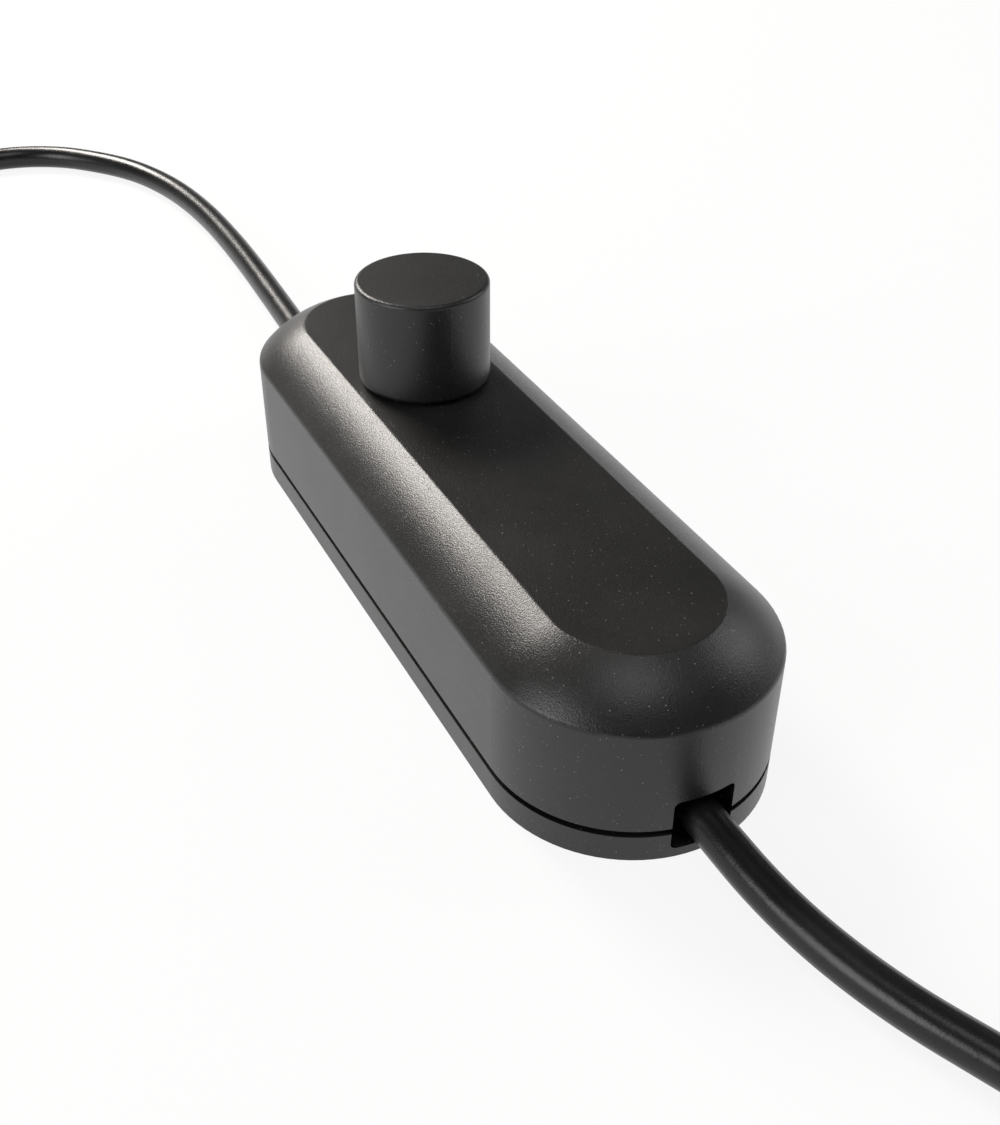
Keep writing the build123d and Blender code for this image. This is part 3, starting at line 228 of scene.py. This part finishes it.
knobLook = dict(
    housingLook, colour=(0.0080, 0.0078, 0.0078, 1), worn=(0.016, 0.0157, 0.0153, 1), grainSize=0.19 * mm,
    grainDepth=0.034 * mm, pitDepth=0.006 * mm, roughness=0.36,
)
plugLook = dict(
    housingLook, colour=(0.0100, 0.0098, 0.0098, 1), worn=(0.020, 0.0195, 0.0195, 1),
    speck=(0.05, 0.05, 0.05, 1), grainSize=0.30 * mm, grainDepth=0.028 * mm, pitSize=0.9 * mm,
    pitDepth=0.02 * mm, roughness=0.44,
)
tieLook = dict(
    plugLook, colour=(0.014, 0.014, 0.015, 1), worn=(0.03, 0.03, 0.03, 1), grainSize=0.35 * mm,
    pitSize=1.2 * mm, roughness=0.36,
)


# Smooth black PVC of the cords: a soft gloss with faint ripples from the extruder
sheathLook = {
    "colour": (0.0065, 0.0065, 0.0065, 1),
    "dusty": (0.014, 0.0137, 0.0134, 1),
    "roughness": 0.27,
    "gloss": 0.40,
    "dustSize": 9 * mm,
    "dustShare": 0.6,
    "rippleSize": 3.2 * mm,
    "rippleDepth": 0.05 * mm,
    "grainSize": 0.35 * mm,
    "grainDepth": 0.012 * mm,
}


def pvcSheath(look):
    def finish(at):
        ripple = grain(at, look["rippleSize"], 2)
        fine = grain(at, look["grainSize"], 3)
        dust = rampUp(grain(at, look["dustSize"], 4), 0.45, 0.75)
        colour = mixColours(dust * look["dustShare"], look["colour"], look["dusty"])
        rough = look["roughness"] + dust * 0.06 + (fine - 0.5) * 0.08
        normal = bump(fine, look["grainDepth"], bump(ripple, look["rippleDepth"]))
        return principled(at, {
            "Base Color": colour, "Roughness": rough, "Normal": normal, "Specular IOR Level": look["gloss"],
        })

    return finish


brownLook = dict(sheathLook, colour=(0.11, 0.042, 0.018, 1), dusty=(0.15, 0.065, 0.032, 1))
blueLook = dict(sheathLook, colour=(0.022, 0.12, 0.42, 1), dusty=(0.04, 0.17, 0.5, 1))


# Plated and bare metals: a tint, a few broad stains and fine scratches
def metalFinish(look):
    def finish(at):
        stain = rampUp(grain(at, look["stainSize"], 4), 0.35, 0.75)
        scratch = grain(at, look["scratchSize"], 3, look["stretch"])
        colour = mixColours(stain, look["colour"], look["stained"])
        rough = look["roughness"] + stain * 0.12 + (scratch - 0.5) * 0.16
        normal = bump(scratch, look["scratchDepth"])
        return principled(at, {"Base Color": colour, "Metallic": 1.0, "Roughness": rough, "Normal": normal})

    return finish


nickelLook = {
    "colour": (0.72, 0.69, 0.62, 1),
    "stained": (0.55, 0.50, 0.42, 1),
    "roughness": 0.22,
    "stainSize": 3.5 * mm,
    "scratchSize": 0.35 * mm,
    "stretch": (0.15, 1.0, 1.0),
    "scratchDepth": 0.004 * mm,
}
steelLook = dict(
    nickelLook, colour=(0.60, 0.61, 0.62, 1), stained=(0.46, 0.46, 0.45, 1), roughness=0.32,
    stretch=(1.0, 1.0, 0.4),
)
aluminiumLook = dict(
    nickelLook, colour=(0.78, 0.79, 0.80, 1), stained=(0.66, 0.67, 0.68, 1), roughness=0.36,
    stretch=(0.08, 1.0, 1.0),
)


# Matt insulating and moulded materials: a ground colour, a fleck colour and a fine tooth
def flecked(look):
    def finish(at):
        fleck = rampUp(grain(at, look["fleckSize"], 4, look["stretch"]), 0.45, 0.7)
        tooth = grain(at, look["toothSize"], 3)
        colour = mixColours(fleck, look["colour"], look["fleck"])
        rough = look["roughness"] + (tooth - 0.5) * 0.15
        normal = bump(tooth, look["toothDepth"])
        return principled(at, {"Base Color": colour, "Roughness": rough, "Normal": normal})

    return finish


phenolicLook = {
    "colour": (0.20, 0.085, 0.028, 1),
    "fleck": (0.30, 0.15, 0.06, 1),
    "fleckSize": 0.5 * mm,
    "stretch": (0.3, 1.0, 1.0),
    "toothSize": 0.2 * mm,
    "toothDepth": 0.01 * mm,
    "roughness": 0.45,
}
boardLook = dict(phenolicLook, colour=(0.42, 0.26, 0.10, 1), fleck=(0.52, 0.36, 0.17, 1), fleckSize=0.8 * mm)
carbonLook = dict(phenolicLook, colour=(0.02, 0.02, 0.02, 1), fleck=(0.05, 0.05, 0.05, 1), roughness=0.55)
terminalLook = dict(
    phenolicLook, colour=(0.055, 0.16, 0.09, 1), fleck=(0.07, 0.19, 0.11, 1), roughness=0.4,
    stretch=(1.0, 1.0, 1.0),
)
nylonLook = dict(
    phenolicLook, colour=(0.72, 0.70, 0.64, 1), fleck=(0.78, 0.77, 0.72, 1), roughness=0.38,
    stretch=(1.0, 1.0, 1.0),
)
epoxyLook = dict(
    phenolicLook, colour=(0.016, 0.016, 0.017, 1), fleck=(0.035, 0.035, 0.036, 1), roughness=0.5
)
ferriteLook = dict(
    phenolicLook, colour=(0.035, 0.036, 0.038, 1), fleck=(0.085, 0.085, 0.088, 1), roughness=0.6,
    fleckSize=0.25 * mm,
)
capacitorLook = dict(
    phenolicLook, colour=(0.62, 0.40, 0.045, 1), fleck=(0.68, 0.47, 0.08, 1), roughness=0.33,
    stretch=(1.0, 1.0, 1.0),
)


# Resistors: a beige body with four coloured bands round it, counted from one end
resistorLook = {
    "body": (0.55, 0.40, 0.25, 1),
    "bands": [(0.15, (0.5, 0.05, 0.02, 1)), (0.32, (0.3, 0.02, 0.3, 1)), (0.49, (0.75, 0.35, 0.02, 1)),
              (0.80, (0.55, 0.38, 0.10, 1))],
    "bandWidth": 0.075,
    "toothSize": 0.3 * mm,
    "toothDepth": 0.006 * mm,
    "roughness": 0.35,
}


def bandedBody(look, node):
    low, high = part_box(node)

    def finish(at):
        along = at.add("ShaderNodeSeparateXYZ", {}, {"Vector": at}, out=0)
        share = rampUp(along, low.x, high.x)
        tooth = grain(at, look["toothSize"], 2)
        colour = mixColours(tooth * 0.3, look["body"], grey(0.6))
        for start, band in look["bands"]:
            colour = mixColours((share > start) * (share < start + look["bandWidth"]), colour, band)
        rough = look["roughness"] + (tooth - 0.5) * 0.1
        normal = bump(tooth, look["toothDepth"])
        return principled(at, {"Base Color": colour, "Roughness": rough, "Normal": normal})

    return finish


# Winding of the choke: enamelled copper, with upright ridges set round the core's axis. They cross
# the turns of wire, which the solid itself shows. Between the ridges the copper is painted darker: painted
# shade in the grooves.
windingLook = {
    "wire": (0.55, 0.16, 0.045, 1),
    # darker copper for the grooves between turns: painted shade
    "grooveShade": (0.10, 0.025, 0.01, 1),
    "ridges": 34,
    "depth": 0.12 * mm,
    "scuffSize": 0.6 * mm,
    "roughness": 0.22,
}


def woundWire(look, node):
    low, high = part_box(node)
    centre = (low + high) / 2

    def finish(at):
        place = at.add("ShaderNodeMapping", {}, {"Vector": at, "Location": [-v for v in centre]})
        x = at.add("ShaderNodeSeparateXYZ", {}, {"Vector": place}, out=0)
        y = at.add("ShaderNodeSeparateXYZ", {}, {"Vector": place}, out=1)
        angle = at.maths("ARCTAN2", y, x)
        wave = at.maths("SINE", angle * look["ridges"], 0.0)
        ridge = rampUp(wave, -0.9, 0.6)
        scuff = grain(at, look["scuffSize"], 3)
        # Painted shade: the grooves between the ridges take the darker copper
        colour = mixColours(ridge, look["grooveShade"], look["wire"])
        rough = look["roughness"] + (1 - ridge) * 0.3 + (scuff - 0.5) * 0.1
        normal = bump(ridge, look["depth"])
        return principled(at, {
            "Base Color": colour, "Metallic": 0.6, "Roughness": rough, "Normal": normal, "Coat Weight": 0.5,
        })

    return finish


# Clear glass of the fuse and the diac, a little dusty
glassLook = {
    "clear": (0.92, 0.95, 0.93, 1),
    "dusty": (0.80, 0.83, 0.81, 1),
    "smearSize": 1.5 * mm,
    "roughness": 0.04,
}


def clearGlass(at):
    smear = rampUp(grain(at, glassLook["smearSize"], 3), 0.4, 0.8)
    colour = mixColours(smear * 0.3, glassLook["clear"], glassLook["dusty"])
    rough = glassLook["roughness"] + smear * 0.12
    return principled(at, {"Base Color": colour, "Roughness": rough, "Transmission Weight": 1.0, "IOR": 1.5})


materials = {
    "housing_plastic": makeMaterial("housingPlastic", mouldedBlack(housingLook)),
    "knob_plastic": makeMaterial("knobPlastic", mouldedBlack(knobLook)),
    "plug_plastic": makeMaterial("plugPlastic", mouldedBlack(plugLook)),
    "tie_plastic": makeMaterial("tiePlastic", mouldedBlack(tieLook)),
    "cord_sheath": makeMaterial("cordSheath", pvcSheath(sheathLook)),
    "core_brown": makeMaterial("coreBrown", pvcSheath(brownLook)),
    "core_blue": makeMaterial("coreBlue", pvcSheath(blueLook)),
    "nickel_brass": makeMaterial("nickelBrass", metalFinish(nickelLook)),
    "steel": makeMaterial("steel", metalFinish(steelLook)),
    "aluminium": makeMaterial("aluminium", metalFinish(aluminiumLook)),
    "phenolic": makeMaterial("phenolic", flecked(phenolicLook)),
    "board": makeMaterial("board", flecked(boardLook)),
    "carbon": makeMaterial("carbon", flecked(carbonLook)),
    "terminal_plastic": makeMaterial("terminalPlastic", flecked(terminalLook)),
    "nylon": makeMaterial("nylon", flecked(nylonLook)),
    "epoxy": makeMaterial("epoxy", flecked(epoxyLook)),
    "ferrite": makeMaterial("ferrite", flecked(ferriteLook)),
    "capacitor_case": makeMaterial("capacitorCase", flecked(capacitorLook)),
    "resistor_body": makeMaterial("resistorBody", bandedBody(resistorLook, "resistors")),
    "enamelled_copper": makeMaterial("enamelledCopper", woundWire(windingLook, "choke_winding")),
    "glass": makeMaterial("glass", clearGlass),
}

# Every CAD node takes the finish of its slot in the record
for part in frame["record"]["subparts"]:
    mesh = nodes[part["node"]].data
    mesh.materials.clear()
    mesh.materials.append(materials[part["material_slot"]])
print("materials made:", len(materials))


# Cords: round, lying on the floor, in millimetres from the body's centre. The length of the mains
# one that the photograph doesn't show is put away in a tied coil, with the plug on top of it.
cordFacts = {"diameter": 5.0, "pointsPerTurn": 16, "stepsPerPoint": 10, "roundness": 6}

mainsRoute = {
    "start": [(43.5, 0, 4.75), (56.4, 0, 4.75), (70.5, 1.1, 3.0), (84, 4.4, 2.5), (97, 10.2, 2.5),
              (105.5, 13.8, 2.6), (113.5, 15, 3.7), (124, 15, 3.7), (135.3, 15, 3.7)],
    "end": [(108.5, -20.3, 13.8), (108.5, 0.3, 13.8), (123.1, 14.9, 15.2), (143.7, 14.9, 17.1),
            (158.28, 0.3, 18.45), (158.28, -10.4, 18.45)],
    "exit": (57.4, 0, 4.75),
    "length": 1.13,
}

lampRoute = {
    "points": [(-43.5, 0, 4.75), (-56.4, 0, 4.75), (-72.5, 0.9, 3.0), (-93, 2.2, 2.5), (-118, 3.3, 2.5),
               (-136, 3.5, 2.5), (-151, 2.9, 2.5), (-164, 1.3, 2.5), (-175, -1.4, 2.5), (-184.5, -5.3, 2.5),
               (-192.6, -10.9, 2.5), (-200.6, -18.4, 2.5), (-205.4, -29.3, 2.5), (-204.3, -41.5, 2.5),
               (-198.3, -52, 2.5), (-188, -59.3, 2.5), (-176.5, -61.2, 2.5), (-160, -61.1, 2.5),
               (-141, -60.9, 2.5), (-115.6, -61.2, 2.5)],
    "exit": (-57.4, 0, 4.75),
    "length": 0.29,
}

coil = {
    "centre": (142.0, -18.5),
    "outer": 33.5,
    "inner": 19.8,
    "low": 3.7,
    "layer": 5.0,
    "from": 90.0,
    "turns": 5.75,      # clockwise seen from above
    "step": 0.4,        # turns at the inner radius, where the cord climbs onto the first layer
    "rise": 5.1,        # past the tie the cord rises again, out of the coil
    "riseTurns": 0.13,
}


def eased(share):
    share = np.clip(share, 0, 1)
    return share * share * (3 - 2 * share)


# Points of the coil: the angle runs evenly, the radius falls from outer to inner over the first
# layer and rises again over the second, and the height climbs one diameter in between.
# The spline runs inside its points by the cosine of half a step, which the radius makes up for.
def coilPoints():
    count = int(coil["turns"] * cordFacts["pointsPerTurn"])
    turned = (np.arange(count) + 0.5) / count * coil["turns"]
    half = coil["turns"] / 2
    away = np.clip((np.abs(turned - half) - coil["step"] / 2) / (half - coil["step"] / 2), 0, 1)
    radius = coil["inner"] + (coil["outer"] - coil["inner"]) * away
    radius = radius / math.cos(math.pi / cordFacts["pointsPerTurn"])
    height = coil["low"] + coil["layer"] * eased((turned - half) / coil["step"] + 0.5)
    height = height + coil["rise"] * eased((turned - coil["turns"]) / coil["riseTurns"] + 1)
    angle = np.radians(coil["from"] - 360 * turned)
    x = coil["centre"][0] + radius * np.cos(angle)
    y = coil["centre"][1] + radius * np.sin(angle)
    return list(zip(x, y, height))


def makeCord(name, points):
    curve = bpy.data.curves.new(name, "CURVE")
    curve.dimensions = "3D"
    curve.resolution_u = cordFacts["stepsPerPoint"]
    curve.bevel_depth = cordFacts["diameter"] / 2 * mm
    curve.bevel_resolution = cordFacts["roundness"]
    curve.use_fill_caps = True
    spline = curve.splines.new("NURBS")
    spline.points.add(len(points) - 1)
    for point, place in zip(spline.points, points):
        point.co = (*(v * mm for v in place), 1)
    spline.order_u = 3
    spline.use_endpoint_u = True
    curve.materials.append(materials["cord_sheath"])
    cord = bpy.data.objects.new(name, curve)
    bpy.context.scene.collection.objects.link(cord)
    return cord


mainsCord = makeCord("mainsLead", mainsRoute["start"] + coilPoints() + mainsRoute["end"])
lampCord = makeCord("lampLead", lampRoute["points"])
for cord, route, solids, far, pieces in (
    (mainsCord, mainsRoute, ("mains_cord", "mains_cord_coil", "mains_cord_tail"), "plug",
     ("mains_cord_tie", "plug_body", "plug_pins", "plug_sleeves")),
    (lampCord, lampRoute, ("lamp_cord",), "bare", ("lamp_lead_brown", "lamp_lead_blue", "ferrules")),
):
    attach(cord, "housing")
    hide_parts(*solids)
print("cords laid")


# Studio: a white floor that keeps the shadow, a pale world and soft lamps
studio = {
    "floorSize": 8.0,
    "floorDrop": 0.0001,
    "floorColour": grey(0.86),
    "floorRoughness": 0.9,
    "floorWhite": 0.88,     # share of plain white for the camera and in mirrored rays
    "worldLight": 0.11,
    "ceilingStart": 0.20,   # upward part of a ray's direction where the pale walls of the room end
    "lamps": [
        # name, place, aim, size, power, colour
        ("keyLamp", (-0.70, -0.14, 0.54), (0.0, 0.0, 0.02), 0.34, 7.5, (1.0, 0.95, 0.90)),
        ("overheadLamp", (0.24, -0.06, 0.85), (0.03, 0.0, 0.02), 0.50, 1.4, (1.0, 1.0, 1.0)),
        ("backLamp", (0.04, 0.78, 0.52), (0.03, 0.0, 0.02), 0.50, 1.6, (1.0, 1.0, 1.0)),
        ("sideLamp", (0.10, -0.75, 0.35), (0.0, 0.0, 0.01), 0.50, 3.0, (1.0, 1.0, 1.0)),
    ],
}


# Light Path's share of rays that come from the camera, and of mirrored rays or rays through glass
def rayShares(at):
    path = [at.add("ShaderNodeLightPath", {}, {}, out=k) for k in (0, 3, 6)]
    return path[0], at.maths("MAXIMUM", path[1], path[2])


def makeFloor():
    half = studio["floorSize"] / 2
    low = -studio["floorDrop"]
    mesh = bpy.data.meshes.new("floor")
    corners = [(-half, -half, low), (half, -half, low), (half, half, low), (-half, half, low)]
    mesh.from_pydata(corners, [], [(0, 1, 2, 3)])
    floor = bpy.data.objects.new("floor", mesh)
    bpy.context.scene.collection.objects.link(floor)

    def finish(at):
        matt = principled(at, {"Base Color": studio["floorColour"], "Roughness": studio["floorRoughness"]})
        white = at.add("ShaderNodeEmission", {}, {"Color": grey(1.0), "Strength": 1.0})
        seen, mirrored = rayShares(at)
        share = at.maths("MAXIMUM", seen, mirrored) * studio["floorWhite"]
        return at.add("ShaderNodeMixShader", {}, {0: share, 1: matt, 2: white})

    mesh.materials.append(makeMaterial("floorWhite", finish))


def makeWorld():
    world = bpy.data.worlds.new("studio")
    world.use_nodes = True
    tree = world.node_tree
    tree.nodes.clear()
    start = Socket(tree)
    upward = start.add("ShaderNodeTexCoord", {}, {}, out=0)
    upward = start.add("ShaderNodeSeparateXYZ", {}, {"Vector": upward}, out=2)
    seen, mirrored = rayShares(start)
    share = start.maths("MAXIMUM", seen, mirrored * rampUp(upward, studio["ceilingStart"], 0.0))
    dim = start.add("ShaderNodeBackground", {}, {"Color": grey(1.0), "Strength": studio["worldLight"]})
    white = start.add("ShaderNodeBackground", {}, {"Color": grey(1.0), "Strength": 1.0})
    both = start.add("ShaderNodeMixShader", {}, {0: share, 1: dim, 2: white})
    start.add("ShaderNodeOutputWorld", {}, {"Surface": both})
    bpy.context.scene.world = world


def makeLamp(name, place, aim, size, power, colour):
    data = bpy.data.lights.new(name, "AREA")
    data.shape = "DISK"
    data.size = size
    data.energy = power
    data.color = colour
    lamp = bpy.data.objects.new(name, data)
    bpy.context.scene.collection.objects.link(lamp)
    away = Matrix.Translation(place).to_translation() - Matrix.Translation(aim).to_translation()
    lamp.rotation_mode = "QUATERNION"
    lamp.rotation_quaternion = away.to_track_quat("Z", "Y")
    lamp.location = place


makeFloor()
makeWorld()
for lamp in studio["lamps"]:
    makeLamp(*lamp)
bpy.context.scene.view_settings.view_transform = "Standard"
print("studio set")
